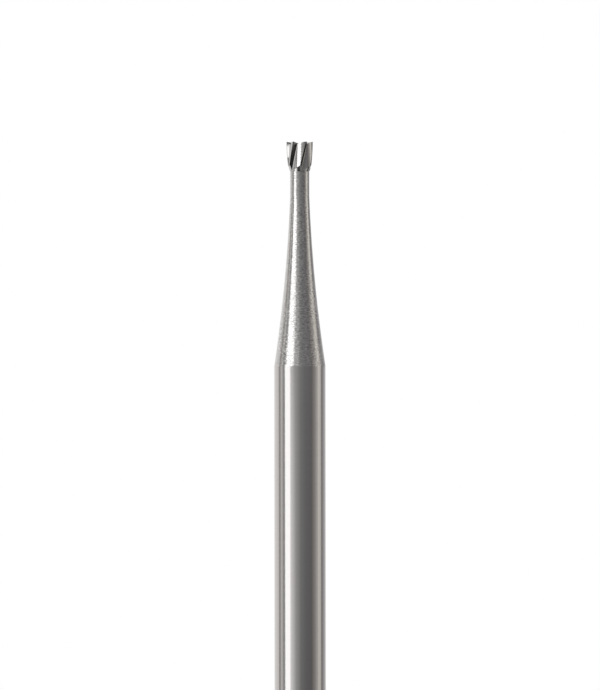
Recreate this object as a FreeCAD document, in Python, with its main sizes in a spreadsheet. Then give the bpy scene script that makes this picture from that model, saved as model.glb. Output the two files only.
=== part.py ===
import FreeCAD, Part
import enum
import math
import os
import Sketcher

# One-piece dental bur: a plain cylindrical shank, a slim concave flare, a short neck and an
# inverted-cone head with helical blades that cut on the side and on the end.
# +Z runs from the flat end of the shank to the cutting tip, and the origin is the centre of
# that flat end. Lengths are in millimetres and angles in degrees.

SIZES = {
    "shankDiameter": 2.35,      # handpiece shank of the standard type
    "overallLength": 44.5,      # flat end of the shank to the tips of the end teeth
    "shankEndChamfer": 0.2,     # bevel round the flat end
    "flareEnd": 10.27,          # tip to the shoulder where the flare reaches the shank
    "flareRadius": 70.0,        # concave arc between neck and shank
    "shoulderRadius": 1.5,      # softened edge between flare and shank
    "neckDiameter": 0.88,       # slim cylinder behind the head
    "neckEnd": 2.49,            # tip to the end of the straight neck
    "headDiameter": 1.2,        # across the end teeth
    "headBackDiameter": 1.14,   # across the blades at the back of the head
    "headLength": 1.07,         # tip to the back corner of the blades
    "backBevelLength": 0.29,    # back corner to the neck
    "bladeCount": 6,
    "helixLead": 14.0,          # axial length of one full turn of a right-hand blade
    "firstToothAngle": -53.5,   # where one of the end teeth stands, from +X towards +Y
    "fluteDepth": 0.155,        # edge of a blade to the bottom of the flute, at the tip
    "backFluteDepth": 0.135,    # the same at the back of the head
    "faceLean": 22.0,           # how far a blade's cutting face leans back from the radius
    "gulletRadius": 0.07,       # round at the foot of each cutting face
    "crownRadius": 0.54,        # crowned back of each blade
    "landAngle": 4.0,           # width of the round land left at the side edges
    "crownOverrun": 0.036,      # the cut goes on this far outside the blades' edges
    "fluteMouth": 1.2,          # open side of the flute section, outside the edges
    "fluteStart": 0.13,         # the first flute section stands this far above the tip
    "runOutLength": 0.62,       # the flute lifts out of the neck over this length
    "runOutClearance": 0.02,    # how far above the neck the flute ends
    "endDish": 0.1,             # hollow in the middle of the end
    "endGashDepth": 0.14,       # step in front of each end tooth, at the rim
    "endLandAngle": 9.0,        # width of the flat land left at the end edges
    "gashMouth": 0.24,          # open side of the end gash, outside the rim
}

HEAD_STEPS = 3          # flute sections down the head, after the first one above the tip
RUN_OUT_STEPS = 2       # flute sections in the run-out

document = FreeCAD.newDocument("DentalBur")
sheet = document.addObject("Spreadsheet::Sheet", "sizes")
for row, (alias, value) in enumerate(SIZES.items(), start=1):
    sheet.set(f"A{row}", alias)
    sheet.set(f"B{row}", str(value))
    sheet.setAlias(f"B{row}", alias)
document.recompute()

body = document.addObject("PartDesign::Body", "bur")
body.Label = "bur"


def base_feature(role):
    """One of the body's own base planes or axes."""
    return next(item for item in body.Origin.OriginFeatures if item.Role == role)


def new_sketch(name, plane):
    """An empty sketch on one of the body's base planes."""
    sketch = body.newObject("Sketcher::SketchObject", name)
    sketch.AttachmentSupport = [(base_feature(plane), "")]
    sketch.MapMode = "FlatFace"
    return sketch


def size_of(formula):
    """What a formula on the sheet's cells comes to."""
    return float(sheet.evalExpression(formula))


def bind(sketch, name, formula, kind, *places):
    """Adds a named dimension to a sketch and ties it to the sheet."""
    index = sketch.addConstraint(Sketcher.Constraint(kind, *places, size_of(formula)))
    sketch.renameConstraint(index, name)
    sketch.setExpression(f"Constraints.{name}", formula)


def bind_angle(sketch, name, formula, line):
    """Adds a named angle from the sketch's X axis to a line, in degrees on the sheet."""
    index = sketch.addConstraint(Sketcher.Constraint("Angle", line, math.radians(size_of(formula))))
    sketch.renameConstraint(index, name)
    sketch.setExpression(f"Constraints.{name}", f"({formula}) * 1 deg")


def join(sketch, kind, *places):
    """Adds a constraint that has no size."""
    sketch.addConstraint(Sketcher.Constraint(kind, *places))


def point(x, y):
    return FreeCAD.Vector(x, y, 0)


def circles_meet(first, first_radius, second, second_radius):
    """The two points where two circles meet."""
    gap = first.distanceToPoint(second)
    unit = (second - first) / gap
    along = (first_radius ** 2 - second_radius ** 2 + gap ** 2) / (2 * gap)
    aside = math.sqrt(first_radius ** 2 - along ** 2)
    middle = first + unit * along
    return middle + point(-unit.y, unit.x) * aside, middle - point(-unit.y, unit.x) * aside


def bearing(centre, target):
    """Direction from one point to another, in radians."""
    return math.atan2(target.y - centre.y, target.x - centre.x)


class Axis(enum.IntEnum):
    """How a sketch counts its own axes among its geometry."""
    ACROSS = -1
    UP = -2


class Spot(enum.IntEnum):
    """How a sketch counts the points of a line or an arc."""
    START = 1
    END = 2
    CENTRE = 3


ORIGIN = (Axis.ACROSS, Spot.START)
OTHER_END = {Spot.START: Spot.END, Spot.END: Spot.START}

# Turned outline, from the flat end up to the tip: name of a corner, its radius and its height.
OUTLINE = (
    ("shankFoot", "sizes.shankDiameter / 2", "0"),
    ("shoulder", "sizes.shankDiameter / 2", "sizes.overallLength - sizes.flareEnd"),
    ("neckFoot", "sizes.neckDiameter / 2", "sizes.overallLength - sizes.neckEnd"),
    ("neckHead", "sizes.neckDiameter / 2", "sizes.overallLength - sizes.headLength - sizes.backBevelLength"),
    ("headBack", "sizes.headBackDiameter / 2", "sizes.overallLength - sizes.headLength"),
    ("headRim", "sizes.headDiameter / 2", "sizes.overallLength"),
    ("headDish", "0", "sizes.overallLength - sizes.endDish"),
)


def turned_profile():
    """Half the long section of the blank, a closed outline with one concave arc."""
    sketch = new_sketch("turned_profile", "XZ_Plane")
    corners = [point(0, 0)] + [point(size_of(across), size_of(up)) for _, across, up in OUTLINE]
    flare = 2                                   # the side that runs from the shoulder to the neck
    first = [Spot.START] * len(corners)
    first[flare] = Spot.END                     # an arc runs anticlockwise, here down to the shoulder
    for side, (start, end) in enumerate(zip(corners, corners[1:] + corners[:1])):
        if side == flare:
            radius = size_of("sizes.flareRadius")
            centre = max(circles_meet(start, radius, end, radius), key=lambda middle: middle.x)
            circle = Part.Circle(centre, FreeCAD.Vector(0, 0, 1), radius)
            lower, upper = bearing(centre, start), bearing(centre, end)
            sketch.addGeometry(Part.ArcOfCircle(circle, upper, lower % (2 * math.pi)), False)
        else:
            sketch.addGeometry(Part.LineSegment(start, end), False)

    for side in range(len(corners)):
        follower = (side + 1) % len(corners)
        join(sketch, "Coincident", side, OTHER_END[first[side]], follower, first[follower])
    join(sketch, "Coincident", 0, Spot.START, *ORIGIN)
    bind(sketch, "flareRadius", "sizes.flareRadius", "Radius", flare)
    for side, (name, across, up) in enumerate(OUTLINE, start=1):
        corner = (side, first[side])
        if across == "0":
            join(sketch, "PointOnObject", *corner, Axis.UP)
        else:
            bind(sketch, name + "Radius", across, "DistanceX", *ORIGIN, *corner)
        if up == "0":
            join(sketch, "PointOnObject", *corner, Axis.ACROSS)
        else:
            bind(sketch, name + "Height", up, "DistanceY", *ORIGIN, *corner)
    return sketch


def ring_edge(feature, radius, height):
    """The name of the feature's round edge that is nearest to a radius and a height."""
    def distance(name):
        ring = feature.Shape.getElement(name).Curve
        if not isinstance(ring, Part.Circle):
            return math.inf
        return abs(ring.Radius - radius) + abs(ring.Center.z - height)

    names = [f"Edge{index}" for index in range(1, len(feature.Shape.Edges) + 1)]
    return min(names, key=distance)


# Turned blank with its softened shoulder and the bevel round the flat end
profile = turned_profile()
blank = body.newObject("PartDesign::Revolution", "turned_blank")
blank.Profile = profile
blank.ReferenceAxis = (profile, ["V_Axis"])
blank.Angle = 360
document.recompute()

shank_radius = size_of("sizes.shankDiameter / 2")
shoulder = body.newObject("PartDesign::Fillet", "shoulder_round")
shoulder.Base = (blank, [ring_edge(blank, shank_radius, size_of("sizes.overallLength - sizes.flareEnd"))])
shoulder.setExpression("Radius", "sizes.shoulderRadius")
document.recompute()

end_bevel = body.newObject("PartDesign::Chamfer", "shank_end_bevel")
end_bevel.Base = (shoulder, [ring_edge(shoulder, shank_radius, 0)])
end_bevel.setExpression("Size", "sizes.shankEndChamfer")
document.recompute()


def flute_section(name, height, turn, edge_radius, flute_depth):
    """Section of the cutter that grinds one flute, across the axis and seen from the tip.

    Its straight side makes the cutting face of one blade, and leans back from the radius at
    that blade's edge. A small round leads into the long arc, which makes the crowned back of
    the next blade and passes through its edge.
    """
    edge = size_of(edge_radius)
    gullet = size_of("sizes.gulletRadius")
    crown = size_of("sizes.crownRadius")
    lean = math.radians(size_of("sizes.faceLean"))
    edge_angle = "(360 / sizes.bladeCount - sizes.landAngle)"
    gullet_place = f"{edge_radius} - {flute_depth} + sizes.gulletRadius"
    overrun = f"{edge_radius} + sizes.crownOverrun"
    mouth = f"{edge_radius} + sizes.fluteMouth"

    blade_edge = point(edge, 0)
    inward = point(-math.cos(lean), math.sin(lean))
    aside = point(math.sin(lean), math.cos(lean))
    beside = blade_edge + aside * gullet
    slope = beside.dot(inward)
    way = -slope - math.sqrt(slope ** 2 - beside.Length ** 2 + size_of(gullet_place) ** 2)
    gullet_centre = beside + inward * way
    foot = gullet_centre - aside * gullet
    mouth_point = blade_edge - inward * (size_of("sizes.fluteMouth") / math.cos(lean))

    angle = math.radians(size_of(edge_angle))
    edge_point = point(edge * math.cos(angle), edge * math.sin(angle))
    crown_centre = min(circles_meet(gullet_centre, crown + gullet, edge_point, crown),
                       key=lambda centre: centre.Length)
    over_point = max(circles_meet(crown_centre, crown, point(0, 0), size_of(overrun)),
                     key=lambda meeting: meeting.y)

    sketch = new_sketch(name, "XY_Plane")
    sketch.setExpression("AttachmentOffset.Base.z", height)
    sketch.setExpression("AttachmentOffset.Rotation.Angle", turn)
    upwards = FreeCAD.Vector(0, 0, 1)
    face, fillet, back, opening, blade_spoke, next_spoke = range(6)
    sketch.addGeometry(Part.LineSegment(mouth_point, foot), False)
    sketch.addGeometry(Part.ArcOfCircle(Part.Circle(gullet_centre, upwards, gullet),
                                        bearing(gullet_centre, crown_centre),
                                        bearing(gullet_centre, foot)), False)
    sketch.addGeometry(Part.ArcOfCircle(Part.Circle(crown_centre, upwards, crown),
                                        bearing(crown_centre, gullet_centre),
                                        bearing(crown_centre, over_point)), False)
    sketch.addGeometry(Part.LineSegment(over_point, mouth_point), False)
    sketch.addGeometry(Part.LineSegment(point(0, 0), blade_edge), True)
    sketch.addGeometry(Part.LineSegment(point(0, 0), edge_point), True)

    join(sketch, "Tangent", face, Spot.END, fillet, Spot.END)
    join(sketch, "Tangent", fillet, Spot.START, back, Spot.START)
    join(sketch, "Coincident", back, Spot.END, opening, Spot.START)
    join(sketch, "Coincident", opening, Spot.END, face, Spot.START)
    for spoke in (blade_spoke, next_spoke):
        join(sketch, "Coincident", spoke, Spot.START, *ORIGIN)
    join(sketch, "Horizontal", blade_spoke)
    join(sketch, "Equal", blade_spoke, next_spoke)
    join(sketch, "PointOnObject", blade_spoke, Spot.END, face)
    join(sketch, "PointOnObject", next_spoke, Spot.END, back)
    bind(sketch, "edgeRadius", edge_radius, "Distance", blade_spoke)
    bind(sketch, "gulletRadius", "sizes.gulletRadius", "Radius", fillet)
    bind(sketch, "gulletPlace", gullet_place, "Distance", fillet, Spot.CENTRE, *ORIGIN)
    bind(sketch, "crownRadius", "sizes.crownRadius", "Radius", back)
    bind(sketch, "overrun", overrun, "Distance", back, Spot.END, *ORIGIN)
    bind(sketch, "mouth", mouth, "DistanceX", *ORIGIN, face, Spot.START)
    bind_angle(sketch, "faceAngle", "180 - sizes.faceLean", face)
    bind_angle(sketch, "edgeAngle", edge_angle, next_spoke)
    return sketch


# Helical flutes: sections down the head, turned by the blades' lead, then out of the neck
def turn_at(depth):
    return f"(sizes.firstToothAngle - 360 * ({depth}) / sizes.helixLead) * 1 deg"


sections = []
for step in range(HEAD_STEPS + 1):
    depth = f"((sizes.headLength + sizes.fluteStart) * {step} / {HEAD_STEPS} - sizes.fluteStart)"
    taper = f"(sizes.headDiameter - sizes.headBackDiameter) / 2 * {depth} / sizes.headLength"
    shallower = f"(sizes.fluteDepth - sizes.backFluteDepth) * {depth} / sizes.headLength"
    sections.append(flute_section(f"flute_section_{step}", f"sizes.overallLength - {depth}",
                                  turn_at(depth), f"(sizes.headDiameter / 2 - {taper})",
                                  f"(sizes.fluteDepth - {shallower})"))
lifted = "sizes.neckDiameter / 2 + sizes.runOutClearance + sizes.backFluteDepth"
for step in range(1, RUN_OUT_STEPS + 1):
    depth = f"(sizes.headLength + sizes.runOutLength * {step} / {RUN_OUT_STEPS})"
    lift = f"(({lifted} - sizes.headBackDiameter / 2) * {step ** 2} / {RUN_OUT_STEPS ** 2})"
    sections.append(flute_section(f"flute_section_{HEAD_STEPS + step}", f"sizes.overallLength - {depth}",
                                  turn_at(depth), f"(sizes.headBackDiameter / 2 + {lift})",
                                  "sizes.backFluteDepth"))
document.recompute()

flute = body.newObject("PartDesign::SubtractiveLoft", "flute")
flute.Profile = sections[0]
flute.Sections = sections[1:]
document.recompute()


# End teeth: a gash that falls away from one end edge and stops at the face of the tooth behind
# it. It narrows to a point on the axis, so each end edge runs in to the middle.
def end_gash():
    sector = "(360 / sizes.bladeCount - sizes.endLandAngle)"
    wall = "(sizes.firstToothAngle - 360 * sizes.endGashDepth / sizes.helixLead)"
    middle = f"({wall} + {sector} / 2)"
    distance = "(sizes.headDiameter / 2 + sizes.gashMouth)"
    stretch = f"({distance} / (sizes.headDiameter / 2) / cos({sector} / 2 * 1 deg))"
    half_width = f"{distance} * tan({sector} / 2 * 1 deg)"
    low = f"(sizes.endDish - sizes.endGashDepth) * {stretch} - sizes.endDish"
    high = f"sizes.endDish * {stretch} - sizes.endDish"
    rise = f"{high} + sizes.endDish + sizes.endGashDepth"

    mouth = new_sketch("end_gash_mouth", "YZ_Plane")
    mouth.AttachmentOffset = FreeCAD.Placement(point(0, 0), FreeCAD.Rotation(point(0, 1), 1))
    mouth.setExpression("AttachmentOffset.Rotation.Angle", f"{middle} * 1 deg")
    mouth.setExpression("AttachmentOffset.Base.x", f"{distance} * sin({middle} * 1 deg)")
    mouth.setExpression("AttachmentOffset.Base.y", "sizes.overallLength")
    mouth.setExpression("AttachmentOffset.Base.z", f"{distance} * cos({middle} * 1 deg)")
    corners = (("lowFoot", -1, low), ("highFoot", 1, high), ("highTop", 1, rise), ("lowTop", -1, rise))
    places = [point(side * size_of(half_width), size_of(up)) for _, side, up in corners]
    for start, end in zip(places, places[1:] + places[:1]):
        mouth.addGeometry(Part.LineSegment(start, end), False)
    for side in range(len(corners)):
        join(mouth, "Coincident", side, Spot.END, (side + 1) % len(corners), Spot.START)
    for index, (name, side, up) in enumerate(corners):
        bind(mouth, name + "Width", f"{side} * {half_width}", "DistanceX", *ORIGIN, index, Spot.START)
        bind(mouth, name + "Height", up, "DistanceY", *ORIGIN, index, Spot.START)

    apex = new_sketch("end_gash_apex", "XY_Plane")
    apex.setExpression("AttachmentOffset.Base.z", "sizes.overallLength - sizes.endDish")
    apex.addGeometry(Part.Point(point(0, 0)), False)
    join(apex, "Coincident", 0, Spot.START, *ORIGIN)
    document.recompute()
    gash = body.newObject("PartDesign::SubtractiveLoft", "end_gash")
    gash.Profile = mouth
    gash.Sections = [apex]
    gash.Ruled = True
    return gash


gash = end_gash()
document.recompute()

blades = body.newObject("PartDesign::PolarPattern", "blades")
blades.Originals = [flute, gash]
blades.Axis = (base_feature("Z_Axis"), [""])
blades.Angle = 360
blades.setExpression("Occurrences", "sizes.bladeCount")
body.Tip = blades
document.recompute()

for item in document.Objects:
    if "Invalid" in item.State or "Error" in item.State:
        raise RuntimeError(f"{item.Name} failed: {item.State}")
if body.Shape.isNull() or not body.Shape.isValid() or len(body.Shape.Solids) != 1:
    raise RuntimeError("the bur isn't one valid solid")
for earlier, later in ((end_bevel, flute), (flute, gash), (gash, blades)):
    if later.Shape.Volume >= earlier.Shape.Volume:
        raise RuntimeError(f"{later.Name} cuts nothing")

os.makedirs("parts", exist_ok=True)
body.Shape.exportStep(f"parts/{body.Label}.step")
print(f"{body.Label}: {body.Shape.Volume:.3f} mm3, {len(body.Shape.Faces)} faces")
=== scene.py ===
import math

import bmesh
import bpy
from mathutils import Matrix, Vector


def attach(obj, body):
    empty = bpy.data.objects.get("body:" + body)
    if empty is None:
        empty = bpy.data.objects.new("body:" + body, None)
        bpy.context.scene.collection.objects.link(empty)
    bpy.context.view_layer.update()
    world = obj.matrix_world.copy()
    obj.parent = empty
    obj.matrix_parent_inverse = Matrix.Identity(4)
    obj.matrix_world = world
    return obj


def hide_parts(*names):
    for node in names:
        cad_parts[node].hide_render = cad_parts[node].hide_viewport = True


# A one-piece dental bur: turned shank, flare and neck, with helical blades ground into the head.
# Sizes are in millimetres and degrees, as on a drawing. The node tree turns them into metres.

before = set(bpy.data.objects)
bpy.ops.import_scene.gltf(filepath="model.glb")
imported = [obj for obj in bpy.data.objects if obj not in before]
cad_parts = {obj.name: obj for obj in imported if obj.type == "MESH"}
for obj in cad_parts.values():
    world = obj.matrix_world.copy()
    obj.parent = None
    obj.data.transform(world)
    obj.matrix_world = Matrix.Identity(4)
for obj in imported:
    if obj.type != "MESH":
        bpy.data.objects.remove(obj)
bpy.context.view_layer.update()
mmPerMetre = 1000.0

cameraView = {
    "distance": 400.0,           # far off, because the photograph is nearly flat
    "height": 35.2,
    "aside": 0.006,
    "roll": 0.06,                # the bur leans this little to the left in the picture
    "frameHeight": 31.58,        # what the picture takes in at the bur
    "sensor": 36.0,
    "clipNear": 10.0,
    "clipFar": 5000.0,
}


def makeCamera():
    v = cameraView
    camera = bpy.data.objects.new("photoCamera", bpy.data.cameras.new("photoCamera"))
    camera.data.lens = v["sensor"] * v["distance"] / v["frameHeight"]
    camera.data.sensor_width = v["sensor"]
    camera.data.clip_start = v["clipNear"] / mmPerMetre
    camera.data.clip_end = v["clipFar"] / mmPerMetre
    camera.location = Vector((v["aside"], -v["distance"], v["height"])) / mmPerMetre
    camera.rotation_euler = (math.radians(90), math.radians(v["roll"]), 0)
    bpy.context.scene.collection.objects.link(camera)
    bpy.context.scene.camera = camera


shaft = {
    "length": 44.5,
    "shankRadius": 1.175,
    "endBevel": 0.2,
    "shoulderDepth": 10.27,      # depths are measured down from the tip
    "shoulderRound": 0.4,
    "flareRadius": 70.0,
    "neckRadius": 0.44,
    "neckDepth": 2.49,
    "segments": 288,             # faces round the bur
    "flareRows": 56,
    "roundRows": 6,
}

head = {
    "rimRadius": 0.6,
    "backRadius": 0.57,
    "length": 1.07,
    "bevelLength": 0.29,
    "blades": 6,
    "lead": 14.0,
    "firstTooth": -53.5,         # from +X towards +Y
    "fluteDepth": 0.155,         # at the tip
    "backFluteDepth": 0.135,
    "faceLean": 22.0,            # how far the blades' faces lean back
    "gulletRound": 0.07,
    "crownRadius": 0.54,
    "landAngle": 4.0,
    "runOut": 0.62,
    "runOutClearance": 0.02,
    "endDish": 0.1,
    "endGash": 0.14,
    "endLandAngle": 9.0,
}


def circlesMeet(first, firstRadius, second, secondRadius):
    # the two points where two circles meet
    gap = (second - first).length
    unit = (second - first) / gap
    along = (firstRadius ** 2 - secondRadius ** 2 + gap ** 2) / (2 * gap)
    aside = math.sqrt(firstRadius ** 2 - along ** 2)
    middle = first + unit * along
    across = Vector((-unit.y, unit.x)) * aside
    return middle + across, middle - across


def arcPoints(centre, start, end, steps):
    # points on the shorter arc from start to end, both included
    radius = (start - centre).length
    first = math.atan2(start.y - centre.y, start.x - centre.x)
    last = math.atan2(end.y - centre.y, end.x - centre.x)
    sweep = (last - first + math.pi) % (2 * math.pi) - math.pi
    angles = [first + sweep * i / steps for i in range(steps + 1)]
    return [centre + Vector((math.cos(a), math.sin(a))) * radius for a in angles]


def shaftOutline():
    # half the long section as (radius, height), from the middle of the flat end to the dished tip
    top = shaft["length"]
    neckFoot = Vector((shaft["neckRadius"], top - shaft["neckDepth"]))
    shoulder = Vector((shaft["shankRadius"], top - shaft["shoulderDepth"]))
    flareCentre = max(circlesMeet(neckFoot, shaft["flareRadius"], shoulder, shaft["flareRadius"]),
                      key=lambda c: c.x)
    # the round at the shoulder touches the shank's side and the flare's arc
    roundX = shaft["shankRadius"] - shaft["shoulderRound"]
    reach = shaft["flareRadius"] + shaft["shoulderRound"]
    drop = math.sqrt(reach ** 2 - (flareCentre.x - roundX) ** 2)
    roundCentre = Vector((roundX, flareCentre.y - drop))
    roundFoot = Vector((shaft["shankRadius"], roundCentre.y))
    roundTop = roundCentre + (flareCentre - roundCentre).normalized() * shaft["shoulderRound"]
    outline = [Vector((0, 0)),
               Vector((shaft["shankRadius"] - shaft["endBevel"], 0)),
               Vector((shaft["shankRadius"], shaft["endBevel"]))]
    outline += arcPoints(roundCentre, roundFoot, roundTop, shaft["roundRows"])
    outline += arcPoints(flareCentre, roundTop, neckFoot, shaft["flareRows"])[1:]
    outline += [Vector((shaft["neckRadius"], top - head["length"] - head["bevelLength"])),
                Vector((head["backRadius"], top - head["length"])),
                Vector((head["rimRadius"], top)),
                Vector((0, top - head["endDish"]))]
    return outline


def closeShell(shell, name):
    # faces outwards, then the mesh and its object
    bmesh.ops.recalc_face_normals(shell, faces=shell.faces)
    mesh = bpy.data.meshes.new(name)
    shell.to_mesh(mesh)
    shell.free()
    piece = bpy.data.objects.new(name, mesh)
    bpy.context.scene.collection.objects.link(piece)
    return piece


def turnedBlank():
    # spins the outline round the Z axis into a closed shell
    shell = bmesh.new()
    count = shaft["segments"]
    turns = [2 * math.pi * i / count for i in range(count)]
    rings = []
    for point in shaftOutline():
        if point.x == 0:         # on the axis, one point stands for the whole ring
            rings.append([shell.verts.new((0, 0, point.y))])
        else:
            rings.append([shell.verts.new((point.x * math.cos(a), point.x * math.sin(a), point.y))
                          for a in turns])
    for lower, upper in zip(rings, rings[1:]):
        for i in range(count):
            j = (i + 1) % count
            corners = [lower[i % len(lower)], lower[j % len(lower)],
                       upper[j % len(upper)], upper[i % len(upper)]]
            shell.faces.new(list(dict.fromkeys(corners)))
    return closeShell(shell, "turnedBlank")


cutter = {
    "above": 0.13,               # the flutes start this far above the tip
    "rows": 72,
    "faceSteps": 4,
    "gulletSteps": 14,
    "crownSteps": 30,
    "overrun": 0.036,            # the crown is cut on past the edge
    "mouth": 1.2,                # open side of the flute section, outside the edge
    "gashMouth": 0.24,           # open side of the end gash, outside the rim
    "sharpAngle": 18.0,          # edges sharper than this stay crisp
}


def fluteSection(edgeRadius, depth):
    # the cutter's section: a blade's face that leans back from X, the gullet, and the next blade's crown
    gullet, crown = head["gulletRound"], head["crownRadius"]
    lean = math.radians(head["faceLean"])
    inward = Vector((-math.cos(lean), math.sin(lean)))
    aside = Vector((math.sin(lean), math.cos(lean)))
    start = Vector((edgeRadius, 0)) + aside * gullet
    reach = edgeRadius - depth + gullet
    slope = start.dot(inward)
    gulletCentre = start + inward * (-slope - math.sqrt(slope ** 2 - start.length_squared + reach ** 2))
    edgeAngle = math.radians(360 / head["blades"] - head["landAngle"])
    edgePoint = Vector((math.cos(edgeAngle), math.sin(edgeAngle))) * edgeRadius
    crownCentre = min(circlesMeet(gulletCentre, crown + gullet, edgePoint, crown), key=lambda c: c.length)
    overPoint = max(circlesMeet(crownCentre, crown, Vector((0, 0)), edgeRadius + cutter["overrun"]),
                    key=lambda c: c.y)
    foot = gulletCentre - aside * gullet
    joint = gulletCentre + (crownCentre - gulletCentre).normalized() * gullet
    mouth = Vector((edgeRadius, 0)) - inward * cutter["mouth"] / math.cos(lean)
    face = [mouth.lerp(foot, i / cutter["faceSteps"]) for i in range(cutter["faceSteps"])]
    return (face + arcPoints(gulletCentre, foot, joint, cutter["gulletSteps"])[:-1]
            + arcPoints(crownCentre, joint, overPoint, cutter["crownSteps"]))


def fluteCutter():
    # the flute follows the head's taper, then lifts out over the neck
    start, end = -cutter["above"], head["length"] + head["runOut"]
    lifted = shaft["neckRadius"] + head["runOutClearance"] + head["backFluteDepth"]
    shell = bmesh.new()
    rings = []
    for row in range(cutter["rows"] + 1):
        depth = start + (end - start) * row / cutter["rows"]
        taper = min(depth / head["length"], 1.0)
        lift = max(0.0, (depth - head["length"]) / head["runOut"]) ** 2
        coneRadius = head["rimRadius"] + (head["backRadius"] - head["rimRadius"]) * taper
        cut = head["fluteDepth"] + (head["backFluteDepth"] - head["fluteDepth"]) * taper
        section = fluteSection(coneRadius + (lifted - coneRadius) * lift, cut)
        turn = math.radians(head["firstTooth"] - 360 * depth / head["lead"])
        across = Vector((math.cos(turn), math.sin(turn)))
        along = Vector((-math.sin(turn), math.cos(turn)))
        rings.append([shell.verts.new((*(across * p.x + along * p.y), shaft["length"] - depth))
                      for p in section])
    count = len(rings[0])
    for upper, lower in zip(rings, rings[1:]):
        for i in range(count):
            j = (i + 1) % count
            shell.faces.new((upper[i], upper[j], lower[j], lower[i]))
    shell.faces.new(rings[0])
    shell.faces.new(rings[-1])
    return closeShell(shell, "fluteCutter")


def gashCutter():
    # narrows to the axis, and falls from one end edge to the foot of the next blade's face
    sector = math.radians(360 / head["blades"] - head["endLandAngle"])
    wall = math.radians(head["firstTooth"] - 360 * head["endGash"] / head["lead"])
    stretch = (1 + cutter["gashMouth"] / head["rimRadius"]) / math.cos(sector / 2)
    apexHeight = shaft["length"] - head["endDish"]
    low = apexHeight + (head["endDish"] - head["endGash"]) * stretch
    high = apexHeight + head["endDish"] * stretch
    brim = shaft["length"] + head["endDish"] * stretch + head["endGash"]
    reach = head["rimRadius"] * stretch
    shell = bmesh.new()
    apex = shell.verts.new((0, 0, apexHeight))
    corners = ((wall, low), (wall + sector, high), (wall + sector, brim), (wall, brim))
    mouth = [shell.verts.new((reach * math.cos(angle), reach * math.sin(angle), height))
             for angle, height in corners]
    shell.faces.new(mouth)
    for i, corner in enumerate(mouth):
        shell.faces.new((corner, mouth[(i + 1) % len(mouth)], apex))
    return closeShell(shell, "gashCutter")


def addMath(tree, operation, *values):
    # a math node with each input linked or set
    node = tree.nodes.new("ShaderNodeMath")
    node.operation = operation
    for socket, value in zip(node.inputs, values):
        if isinstance(value, bpy.types.NodeSocket):
            tree.links.new(value, socket)
        else:
            socket.default_value = value
    return node.outputs["Value"]


def addRange(tree, value, given, wanted, curve="LINEAR"):
    # brings a value from the given range into the wanted one
    node = tree.nodes.new("ShaderNodeMapRange")
    node.interpolation_type = curve
    for side, ends in (("From", given), ("To", wanted)):
        node.inputs[side + " Min"].default_value = ends[0]
        node.inputs[side + " Max"].default_value = ends[1]
    tree.links.new(value, node.inputs["Value"])
    return node.outputs["Result"]


def addAbove(tree, value, limit):
    # true where the value is over the limit
    node = tree.nodes.new("FunctionNodeCompare")
    node.operation = "GREATER_THAN"
    tree.links.new(value, node.inputs["A"])
    tree.links.new(limit, node.inputs["B"])
    return node.outputs["Result"]


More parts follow.
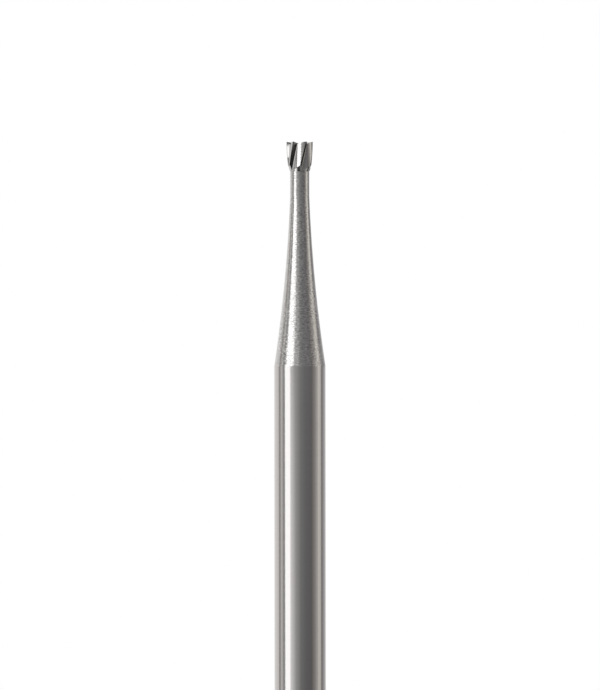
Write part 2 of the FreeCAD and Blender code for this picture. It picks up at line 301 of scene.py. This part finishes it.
def cutBladesTree():
    # places the two cutters once for each blade, takes them out of the blank, and sets the finishes
    tree = bpy.data.node_groups.new("cutBlades", "GeometryNodeTree")
    sockets = (("Blank", "Geometry"), ("Flute cutter", "Object"), ("Gash cutter", "Object"),
               ("Blades", "Int"), ("Sharp angle", "Float"), ("Size", "Float"),
               ("Shoulder height", "Float"), ("Head height", "Float"),
               ("Shank finish", "Material"), ("Neck finish", "Material"), ("Head finish", "Material"))
    for name, kind in sockets:
        tree.interface.new_socket(name, in_out="INPUT", socket_type="NodeSocket" + kind)
    tree.interface.new_socket("Bur", in_out="OUTPUT", socket_type="NodeSocketGeometry")
    add, link = tree.nodes.new, tree.links.new
    given = add("NodeGroupInput").outputs

    # one point for each blade, each turned by its share of a full turn
    points = add("GeometryNodePoints")
    link(given["Blades"], points.inputs["Count"])
    pitch = addMath(tree, "DIVIDE", 2 * math.pi, given["Blades"])
    turn = addMath(tree, "MULTIPLY", add("GeometryNodeInputIndex").outputs["Index"], pitch)
    rotation = add("FunctionNodeAxisAngleToRotation")
    rotation.inputs["Axis"].default_value = (0, 0, 1)
    link(turn, rotation.inputs["Angle"])

    cut = add("GeometryNodeMeshBoolean")
    cut.operation = "DIFFERENCE"
    cut.solver = "MANIFOLD"
    link(given["Blank"], cut.inputs["Mesh 1"])
    for name in ("Flute cutter", "Gash cutter"):
        source = add("GeometryNodeObjectInfo")
        link(given[name], source.inputs["Object"])
        ring = add("GeometryNodeInstanceOnPoints")
        link(points.outputs["Points"], ring.inputs["Points"])
        link(source.outputs["Geometry"], ring.inputs["Instance"])
        link(rotation.outputs["Rotation"], ring.inputs["Rotation"])
        link(ring.outputs["Instances"], cut.inputs["Mesh 2"])

    # smooth faces, with the cutting edges kept sharp
    smooth = add("GeometryNodeSetShadeSmooth")
    link(cut.outputs["Mesh"], smooth.inputs["Geometry"])
    bend = add("GeometryNodeInputMeshEdgeAngle").outputs["Unsigned Angle"]
    crisp = add("GeometryNodeSetShadeSmooth")
    crisp.domain = "EDGE"
    crisp.inputs["Shade Smooth"].default_value = False
    link(smooth.outputs["Geometry"], crisp.inputs["Geometry"])
    link(addAbove(tree, bend, given["Sharp angle"]), crisp.inputs["Selection"])

    scale = add("GeometryNodeTransform")
    link(crisp.outputs["Geometry"], scale.inputs["Geometry"])
    link(given["Size"], scale.inputs["Scale"])
    last = add("GeometryNodeRealizeInstances")
    link(scale.outputs["Geometry"], last.inputs["Geometry"])

    # the shank's finish goes on everything, then the neck's and the head's from their heights up
    finished = add("GeometryNodeSetMaterial")
    link(last.outputs["Geometry"], finished.inputs["Geometry"])
    link(given["Shank finish"], finished.inputs["Material"])
    height = add("ShaderNodeSeparateXYZ")
    link(add("GeometryNodeInputPosition").outputs["Position"], height.inputs["Vector"])
    for limit, finish in (("Shoulder height", "Neck finish"), ("Head height", "Head finish")):
        coated = add("GeometryNodeSetMaterial")
        link(finished.outputs["Geometry"], coated.inputs["Geometry"])
        link(addAbove(tree, height.outputs["Z"], given[limit]), coated.inputs["Selection"])
        link(given[finish], coated.inputs["Material"])
        finished = coated
    link(finished.outputs["Geometry"], add("NodeGroupOutput").inputs["Bur"])
    return tree


def makeBur(shankMetal, neckMetal, headMetal):
    blank, flute, gash = turnedBlank(), fluteCutter(), gashCutter()
    tree = cutBladesTree()
    modifier = blank.modifiers.new("cutBlades", "NODES")
    modifier.node_group = tree
    top = shaft["length"]
    values = {
        "Flute cutter": flute,
        "Gash cutter": gash,
        "Blades": head["blades"],
        "Sharp angle": math.radians(cutter["sharpAngle"]),
        "Size": 1 / mmPerMetre,
        "Shoulder height": (top - shaft["shoulderDepth"]) / mmPerMetre,
        "Head height": (top - head["length"] - head["bevelLength"]) / mmPerMetre,
        "Shank finish": shankMetal,
        "Neck finish": neckMetal,
        "Head finish": headMetal,
    }
    for item in tree.interface.items_tree:
        if item.in_out == "INPUT" and item.name in values:
            modifier[item.identifier] = values[item.name]
    bpy.context.view_layer.update()
    evaluated = blank.evaluated_get(bpy.context.evaluated_depsgraph_get())
    mesh = bpy.data.meshes.new_from_object(evaluated)
    blank.modifiers.remove(modifier)
    for used in (blank, flute, gash):
        bpy.data.objects.remove(used)
    mesh.name = "burBody"
    piece = bpy.data.objects.new("burBody", mesh)
    bpy.context.scene.collection.objects.link(piece)
    return piece


grindingMarks = {
    "lineDetail": 2.0,
    "lineRoughness": 0.6,
    "patchesPerMm": 1.3,         # places where the lines are stronger or weaker
    "patchDetail": 1.0,
    "patchRange": (0.35, 0.65),
    "patchStrength": (0.6, 1.4),
    "middle": 0.5,               # what the lines' noise swings about
    "toneRange": (-0.25, 0.25),
}


def grindingMarksGroup():
    # fine uneven lines round the axis, and how strong they are changes slowly from place to place
    m = grindingMarks
    group = bpy.data.node_groups.new("grindingMarks", "ShaderNodeTree")
    for name, kind in (("Vector", "NodeSocketVector"), ("Lines round", "NodeSocketFloat"),
                       ("Lines along", "NodeSocketFloat")):
        group.interface.new_socket(name, in_out="INPUT", socket_type=kind)
    for name in ("Height", "Tone"):
        group.interface.new_socket(name, in_out="OUTPUT", socket_type="NodeSocketFloat")
    add, link = group.nodes.new, group.links.new
    given = add("NodeGroupInput").outputs

    stretch = add("ShaderNodeCombineXYZ")
    for axis, lines in (("X", "Lines round"), ("Y", "Lines round"), ("Z", "Lines along")):
        link(given[lines], stretch.inputs[axis])
    place = add("ShaderNodeVectorMath")
    place.operation = "MULTIPLY"
    link(given["Vector"], place.inputs[0])
    link(stretch.outputs["Vector"], place.inputs[1])
    fine = add("ShaderNodeTexNoise")
    fine.inputs["Scale"].default_value = 1.0
    fine.inputs["Detail"].default_value = m["lineDetail"]
    fine.inputs["Roughness"].default_value = m["lineRoughness"]
    link(place.outputs["Vector"], fine.inputs["Vector"])
    slow = add("ShaderNodeTexNoise")
    slow.inputs["Scale"].default_value = m["patchesPerMm"]
    slow.inputs["Detail"].default_value = m["patchDetail"]
    link(given["Vector"], slow.inputs["Vector"])

    strength = addRange(group, slow.outputs["Fac"], m["patchRange"], m["patchStrength"])
    centred = addMath(group, "SUBTRACT", fine.outputs["Fac"], m["middle"])
    height = addMath(group, "MULTIPLY", centred, strength)
    out = add("NodeGroupOutput").inputs
    link(height, out["Height"])
    link(addRange(group, height, m["toneRange"], (0.0, 1.0)), out["Tone"])
    return group


finishes = {
    "polishedShank": {
        "colour": (0.645, 0.635, 0.63),
        "roughness": 0.12,
        "linesPerMm": (0.5, 5.0),    # round the axis, along it
        "markDepth": 0.0002,
        "toneDepth": 0.012,
        "glossDepth": 0.15,
    },
    "groundNeck": {
        "colour": (0.645, 0.64, 0.635),
        "roughness": 0.14,
        "linesPerMm": (9.0, 21.0),
        "markDepth": 0.0095,
        "toneDepth": 0.38,
        "glossDepth": 0.45,
    },
    "groundHead": {
        "colour": (0.64, 0.635, 0.63),
        "roughness": 0.11,
        "linesPerMm": (3.0, 18.0),
        "markDepth": 0.003,
        "toneDepth": 0.10,
        "glossDepth": 0.3,
    },
}


def metalMaterial(name, marks):
    # steel whose grinding marks change its height, its gloss and a little of its tone
    f = finishes[name]
    material = bpy.data.materials.new(name)
    material.use_nodes = True
    tree = material.node_tree
    add, link = tree.nodes.new, tree.links.new
    shader = tree.nodes["Principled BSDF"]
    shader.inputs["Metallic"].default_value = 1.0

    place = add("ShaderNodeMapping")
    place.inputs["Scale"].default_value = (mmPerMetre,) * 3
    link(add("ShaderNodeTexCoord").outputs["Object"], place.inputs["Vector"])
    grinding = add("ShaderNodeGroup")
    grinding.node_tree = marks
    grinding.inputs["Lines round"].default_value = f["linesPerMm"][0]
    grinding.inputs["Lines along"].default_value = f["linesPerMm"][1]
    link(place.outputs["Vector"], grinding.inputs["Vector"])

    tint = add("ShaderNodeMix")
    tint.data_type = "RGBA"
    tint.inputs["A"].default_value = (*(c * (1 - f["toneDepth"]) for c in f["colour"]), 1)
    tint.inputs["B"].default_value = (*(c * (1 + f["toneDepth"]) for c in f["colour"]), 1)
    link(grinding.outputs["Tone"], tint.inputs["Factor"])
    link(tint.outputs["Result"], shader.inputs["Base Color"])
    gloss = (f["roughness"] * (1 - f["glossDepth"]), f["roughness"] * (1 + f["glossDepth"]))
    link(addRange(tree, grinding.outputs["Tone"], (0.0, 1.0), gloss), shader.inputs["Roughness"])
    bump = add("ShaderNodeBump")
    bump.inputs["Distance"].default_value = f["markDepth"] / mmPerMetre
    link(grinding.outputs["Height"], bump.inputs["Height"])
    link(bump.outputs["Normal"], shader.inputs["Normal"])
    return material


def placeOnBur(tree):
    # X, Y and Z of the shaded place, in millimetres
    split = tree.nodes.new("ShaderNodeSeparateXYZ")
    tree.links.new(tree.nodes["Mapping"].outputs["Vector"], split.inputs["Vector"])
    return [split.outputs[axis] for axis in "XYZ"]


neckCalm = {
    "heights": (37.0, 40.5),     # where the marks start and stop getting shallower
    "share": 0.25,               # of the marks' depth is left at the neck
}


def calmNeck(material):
    # the marks get shallower up the flare, so that the reflections on the thin neck stay straight
    tree = material.node_tree
    calm = addRange(tree, placeOnBur(tree)[2], neckCalm["heights"], (1.0, neckCalm["share"]))
    height = tree.nodes["Bump"].inputs["Height"]
    tree.links.new(addMath(tree, "MULTIPLY", height.links[0].from_socket, calm), height)
    return material


# painted shade in the head's flutes, put into the metal's colour
flutePaintedShade = {
    "landPaintedShadeColour": (0.06, 0.06, 0.06, 1),     # painted shade: the narrow land behind each cutting edge is painted dark
    "landSkin": 0.012,                       # how near the turned surface counts as land
    "gulletRadii": (0.485, 0.44),            # painted shade: the flutes get darker inwards from the first radius to the second
    "gulletPaintedShade": 0.7,
}


def paintFluteShade(material):
    # paints shade into the colour: the land behind each cutting edge dark, and the bottoms of the flutes
    # darker
    tree = material.node_tree
    add, link = tree.nodes.new, tree.links.new
    shader = tree.nodes["Principled BSDF"]
    x, y, z = placeOnBur(tree)
    radius = addMath(tree, "SQRT", addMath(tree, "ADD", addMath(tree, "MULTIPLY", x, x),
                                           addMath(tree, "MULTIPLY", y, y)))
    slope = (head["rimRadius"] - head["backRadius"]) / head["length"]
    skin = addMath(tree, "MULTIPLY_ADD", z, slope,
                   head["rimRadius"] - slope * shaft["length"] - flutePaintedShade["landSkin"])
    land = addMath(tree, "GREATER_THAN", radius, skin)
    shade = addRange(tree, radius, flutePaintedShade["gulletRadii"], (1.0, flutePaintedShade["gulletPaintedShade"]), "SMOOTHSTEP")
    shaded = add("ShaderNodeVectorMath")
    shaded.operation = "SCALE"
    link(shader.inputs["Base Color"].links[0].from_socket, shaded.inputs[0])
    link(shade, shaded.inputs["Scale"])
    blend = add("ShaderNodeMix")
    blend.data_type = "RGBA"
    blend.inputs["B"].default_value = flutePaintedShade["landPaintedShadeColour"]
    link(land, blend.inputs["Factor"])
    link(shaded.outputs["Vector"], blend.inputs["A"])
    link(blend.outputs["Result"], shader.inputs["Base Color"])
    return material


# The studio is a white room with a lamp at the left and one above, and curved panels that only the
# metal sees. Azimuths are in degrees round the bur, 0 towards the camera and plus to the right.
panelShape = {
    "radius": 300.0,
    "wallHeights": (0.3, 34.0, 44.0, 70.0, 82.0, 520.0),
    "footHeight": 0.3,
    "footRadii": (12.0, 60.0, 80.0, 300.0),    # each panel also runs in along the floor
    "steps": 12,
}

# name: start and end azimuth, brightness at each, colour, and how much of that brightness
# the far part of its foot has, its wall where the neck sees it, and its wall above that
panels = {
    "leftRearEdge": (-180.0, -163.0, 0.70, 0.92, (1.0, 0.98, 0.97), 1.0, 1.0, 0.9),
    "leftRearPanel": (-163.0, -111.0, 0.94, 0.76, (1.0, 0.98, 0.97), 1.0, 1.0, 0.95),
    "leftFlag": (-111.0, -97.5, 0.38, 0.36, (1.0, 0.97, 0.94), 1.0, 1.0, 1.0),
    "leftPanel": (-97.5, -84.5, 0.66, 0.60, (1.0, 0.97, 0.94), 1.0, 1.0, 1.0),
    "stripFlag": (-84.5, -63.0, 0.37, 0.34, (1.0, 0.98, 0.97), 1.0, 1.0, 1.0),
    "stripFalloff": (-52.0, -20.0, 1.09, 0.46, (1.0, 0.985, 0.98), 1.0, 0.6, 0.95),
    "frontFalloff": (-20.0, 0.0, 0.42, 0.26, (1.0, 0.99, 0.98), 1.0, 0.95, 1.1),
    "frontFlag": (0.0, 26.0, 0.24, 0.17, (1.0, 1.0, 1.0), 0.15, 1.15, 1.15),
    "rightFlag": (26.0, 52.0, 0.17, 0.15, (1.0, 0.97, 0.98), 0.15, 1.3, 1.3),
    "rightFalloff": (52.0, 77.0, 0.15, 0.38, (1.0, 0.95, 0.92), 0.15, 1.0, 1.0),
    "creamEdge": (77.0, 87.0, 0.50, 0.44, (1.0, 0.95, 0.90), 0.15, 1.1, 1.0),
    "creamPanel": (87.0, 108.0, 0.72, 0.64, (1.0, 0.955, 0.88), 0.15, 1.2, 1.1),
    "rearFlag": (108.0, 122.0, 0.30, 0.28, (1.0, 0.95, 0.95), 0.15, 1.0, 1.1),
    "rearFalloff": (122.0, 160.0, 0.31, 0.74, (1.0, 0.97, 0.98), 1.0, 0.75, 0.84),
    "rightRearEdge": (160.0, 180.0, 0.84, 0.76, (1.0, 0.97, 0.98), 1.0, 0.7, 0.64),
}

# the strip light stands in front of them, and its ends and brightness change with height;
# its rows are height, start and end azimuth, and how much of the brightness is there
stripLight = {
    "radius": 297.0,
    "footHeight": 0.6,
    "brightness": 1.5,
    "colour": (1.0, 0.99, 0.985),
    "rows": ((0.6, -70.5, -45.0, 1.0), (40.0, -71.3, -43.8, 1.0), (50.0, -71.5, -49.5, 1.08),
             (60.0, -71.3, -45.0, 1.14), (68.0, -69.2, -43.5, 1.2), (77.0, -69.8, -33.0, 1.25),
             (94.0, -66.5, -30.0, 1.22), (118.0, -68.0, -30.5, 1.1), (520.0, -68.0, -31.5, 1.1)),
}

# two small cards: the level at each end, and rows of radius, height, start and end azimuth, and share
cards = {
    "slashCard": {               # low on the floor, seen in the bevel under the white stripe
        "levels": (0.05, 0.05),
        "colour": (1.0, 1.0, 1.0),
        "rows": ((25.0, 0.9, -34.0, 3.0, 1.0), (60.0, 0.9, -34.0, 3.0, 1.0)),
    },
    "shoulderCard": {            # high up, seen in the flare just above the shoulder
        "levels": (0.58, 0.62),
        "colour": (1.0, 0.99, 0.96),
        "rows": ((299.0, 111.0, -23.0, -7.5, 1.0), (299.0, 520.0, -23.0, -7.5, 1.0)),
    },
}


def aroundBur(azimuth, radius, height):
    # a place at an azimuth from the camera's side, in metres
    angle = math.radians(azimuth)
    return Vector((radius * math.sin(angle), -radius * math.cos(angle), height)) / mmPerMetre


def panelMaterial():
    # a panel glows as its own colour attribute says
    material = bpy.data.materials.new("studioPanel")
    material.use_nodes = True
    tree = material.node_tree
    tree.nodes.clear()
    add, link = tree.nodes.new, tree.links.new
    glow = add("ShaderNodeAttribute")
    glow.attribute_name = "glow"
    light = add("ShaderNodeEmission")
    link(glow.outputs["Color"], light.inputs["Color"])
    link(light.outputs["Emission"], add("ShaderNodeOutputMaterial").inputs["Surface"])
    return material


def makePanel(name, sheets, levels, colour, material):
    # each sheet is a list of rows: radius, height, start azimuth, end azimuth and share of the level
    shell = bmesh.new()
    glow = shell.verts.layers.float_color.new("glow")
    for rows in sheets:
        columns = []
        for i in range(panelShape["steps"] + 1):
            along = i / panelShape["steps"]
            level = levels[0] + (levels[1] - levels[0]) * along
            column = []
            for radius, height, start, end, share in rows:
                corner = shell.verts.new(aroundBur(start + (end - start) * along, radius, height))
                corner[glow] = (*(level * share * c for c in colour), 1)
                column.append(corner)
            columns.append(column)
        for left, right in zip(columns, columns[1:]):
            for i in range(len(rows) - 1):
                shell.faces.new((left[i], left[i + 1], right[i + 1], right[i]))
    mesh = bpy.data.meshes.new(name)
    shell.to_mesh(mesh)
    shell.free()
    mesh.materials.append(material)
    panel = bpy.data.objects.new(name, mesh)
    bpy.context.scene.collection.objects.link(panel)
    for ray in ("camera", "diffuse", "transmission", "shadow", "volume_scatter"):
        setattr(panel, "visible_" + ray, False)


def makePanels():
    p, s = panelShape, stripLight
    material = panelMaterial()
    for name, (start, end, startLevel, endLevel, colour, farFoot, atNeck, above) in panels.items():
        wallShares = (1.0, 1.0, atNeck, atNeck, above, above)
        footShares = (1.0, 1.0, farFoot, farFoot)
        wall = [(p["radius"], height, start, end, share)
                for height, share in zip(p["wallHeights"], wallShares)]
        foot = [(radius, p["footHeight"], start, end, share)
                for radius, share in zip(p["footRadii"], footShares)]
        makePanel(name, (wall, foot), (startLevel, endLevel), colour, material)
    wall = [(s["radius"], *row) for row in s["rows"]]
    foot = [(radius, s["footHeight"], *s["rows"][0][1:])
            for radius in (*p["footRadii"][:-1], s["radius"])]
    makePanel("stripLight", (wall, foot), (s["brightness"], s["brightness"]), s["colour"], material)
    for name, card in cards.items():
        makePanel(name, (card["rows"],), card["levels"], card["colour"], material)


sideLamp = {                     # the soft box behind the strip, for everything that isn't a mirror
    "azimuth": -58.0,
    "distance": 420.0,
    "size": (180.0, 600.0),
    "power": 0.9,
}
topLamp = {
    "size": 500.0,
    "height": 700.0,
    "power": 2.2,
}


def makeSideLight():
    s = sideLamp
    lamp = bpy.data.lights.new("sideLight", "AREA")
    lamp.shape = "RECTANGLE"
    lamp.size, lamp.size_y = (side / mmPerMetre for side in s["size"])
    lamp.energy = s["power"]
    light = bpy.data.objects.new("sideLight", lamp)
    light.location = aroundBur(s["azimuth"], s["distance"], s["size"][1] / 2)
    light.rotation_euler = (math.radians(90), 0, math.radians(s["azimuth"]))
    light.visible_camera = False
    light.visible_glossy = False
    bpy.context.scene.collection.objects.link(light)


def makeTopLight():
    lamp = bpy.data.lights.new("topLight", "AREA")
    lamp.size = topLamp["size"] / mmPerMetre
    lamp.energy = topLamp["power"]
    light = bpy.data.objects.new("topLight", lamp)
    light.location = Vector((0, 0, topLamp["height"])) / mmPerMetre
    light.visible_camera = False
    bpy.context.scene.collection.objects.link(light)


room = {
    "colour": (1, 1, 1, 1),
    "seenLevel": 1.0,            # to the camera and in the metal
    "plainLevel": 0.55,          # for everything else
}


def makeWorld():
    world = bpy.data.worlds.new("whiteRoom")
    bpy.context.scene.world = world
    world.use_nodes = True
    tree = world.node_tree
    background = tree.nodes["Background"]
    background.inputs["Color"].default_value = room["colour"]
    path = tree.nodes.new("ShaderNodeLightPath")
    seen = path.outputs["Is Camera Ray"]
    for ray in ("Is Glossy Ray", "Is Transmission Ray"):
        seen = addMath(tree, "MAXIMUM", seen, path.outputs[ray])
    level = addRange(tree, seen, (0.0, 1.0), (room["plainLevel"], room["seenLevel"]))
    tree.links.new(level, background.inputs["Strength"])


floorLook = {
    "radius": 450.0,
    "sides": 96,
    "colour": (0.92, 0.92, 0.92, 1),
    "roughness": 0.9,
    "fadeShares": (0.3, 0.95),   # of the radius, between which it fades away
}


def makeFloor():
    # a pale round floor that fades into the white room at its rim
    f = floorLook
    shell = bmesh.new()
    bmesh.ops.create_circle(shell, cap_ends=True, segments=f["sides"], radius=f["radius"] / mmPerMetre)
    mesh = bpy.data.meshes.new("studioFloor")
    shell.to_mesh(mesh)
    shell.free()
    floor = bpy.data.objects.new("studioFloor", mesh)
    material = bpy.data.materials.new("paleFloor")
    material.use_nodes = True
    tree = material.node_tree
    add, link = tree.nodes.new, tree.links.new
    shader = tree.nodes["Principled BSDF"]
    shader.inputs["Base Color"].default_value = f["colour"]
    shader.inputs["Roughness"].default_value = f["roughness"]
    shader.inputs["Specular IOR Level"].default_value = 0.0
    rim = add("ShaderNodeVectorMath")
    rim.operation = "LENGTH"
    link(add("ShaderNodeTexCoord").outputs["Object"], rim.inputs[0])
    fade = [f["radius"] * share / mmPerMetre for share in f["fadeShares"]]
    link(addRange(tree, rim.outputs["Value"], fade, (1.0, 0.0)), shader.inputs["Alpha"])
    mesh.materials.append(material)
    bpy.context.scene.collection.objects.link(floor)


makeCamera()
print("camera in place")

marks = grindingMarksGroup()
shankMetal = metalMaterial("polishedShank", marks)
neckMetal = calmNeck(metalMaterial("groundNeck", marks))
# the head's finish also gets painted shade on its lands and in its flutes
headMetal = paintFluteShade(metalMaterial("groundHead", marks))
print("finishes made")

bur = makeBur(shankMetal, neckMetal, headMetal)
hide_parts("bur")
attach(bur, "root")
faces = bur.data.polygons
print("bur made:", len(faces), "faces,", sum(len(face.vertices) - 2 for face in faces), "triangles")

makePanels()
makeSideLight()
makeTopLight()
makeWorld()
makeFloor()
bpy.context.scene.view_settings.view_transform = "Standard"
print("studio lit")
